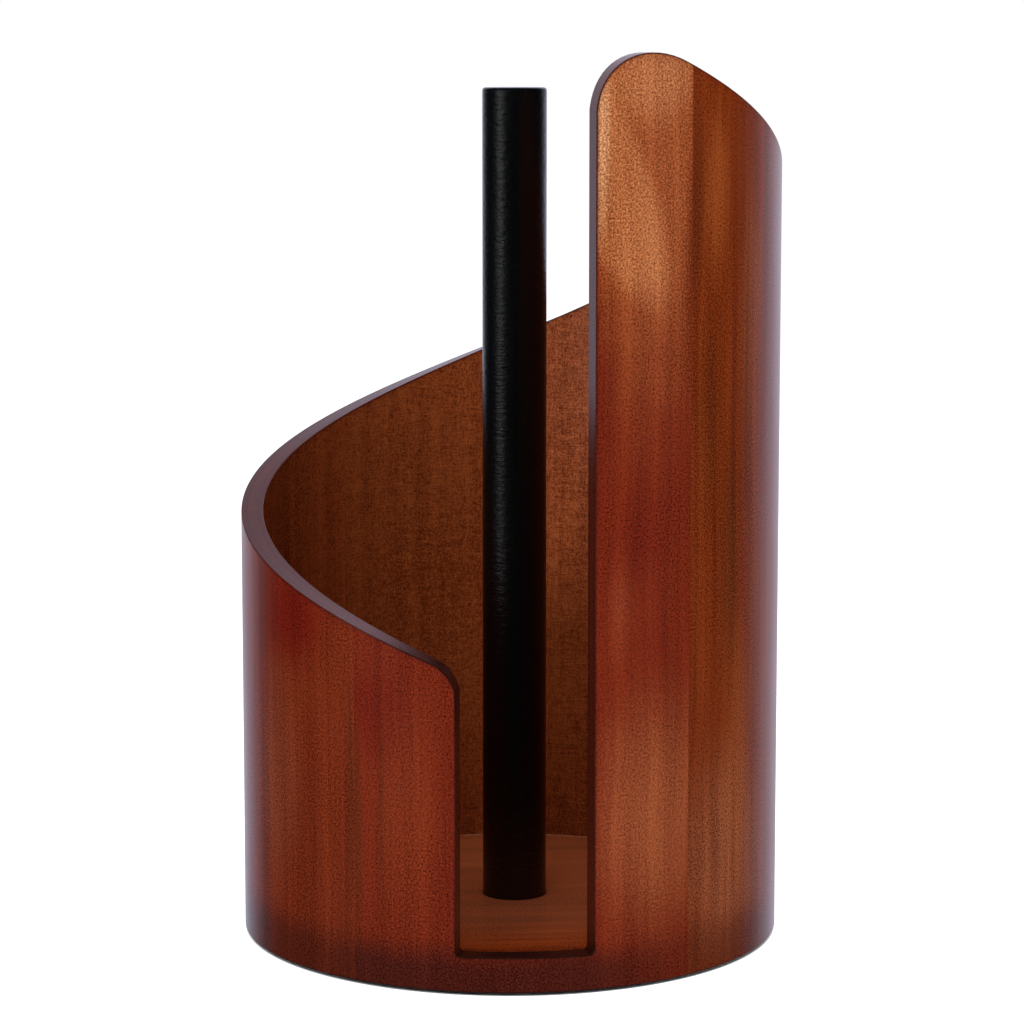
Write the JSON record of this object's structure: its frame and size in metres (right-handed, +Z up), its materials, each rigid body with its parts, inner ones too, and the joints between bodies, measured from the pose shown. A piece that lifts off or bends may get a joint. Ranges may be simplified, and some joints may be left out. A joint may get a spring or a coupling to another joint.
{
  "type": "paper towel holder",
  "caption": "Countertop paper towel holder: a bent, stained wood shell with a spiral rising rim and a front slot around a black post on a round base.",
  "frame": {"origin": "on the table under the shell's axis, at the bottom of the felt pads", "axes": "+Z up along the shell's axis; -Y is the front, where the slot opens; +X is the side where the rim is tall"},
  "size_m": [0.188, 0.188, 0.3072],
  "materials": {
    "outer_veneer": "stained wood veneer under satin lacquer",
    "inner_veneer": "stained wood veneer under satin lacquer",
    "core_ply": "dark stained ply edge under satin lacquer",
    "base_wood": "stained board under satin lacquer",
    "black_paint": "satin black paint on a wooden rod",
    "screw_steel": "zinc plated steel",
    "felt": "pressed felt"
  },
  "bodies": {
    "root": {"outer_leaf_front": "outer_veneer", "outer_leaf_left": "outer_veneer", "outer_leaf_back_left": "outer_veneer", "outer_leaf_back_right": "outer_veneer", "outer_leaf_right": "outer_veneer", "outer_cross_ply": "core_ply", "centre_ply": "core_ply", "inner_cross_ply": "core_ply", "inner_leaf_front_left": "inner_veneer", "inner_leaf_left": "inner_veneer", "inner_leaf_back": "inner_veneer", "inner_leaf_right": "inner_veneer", "inner_leaf_front_right": "inner_veneer", "base_board": "base_wood", "post": "black_paint", "post_screw": "screw_steel", "pad_front_left": "felt", "pad_back_left": "felt", "pad_back_right": "felt", "pad_front_right": "felt"}
  },
  "joints": []
}
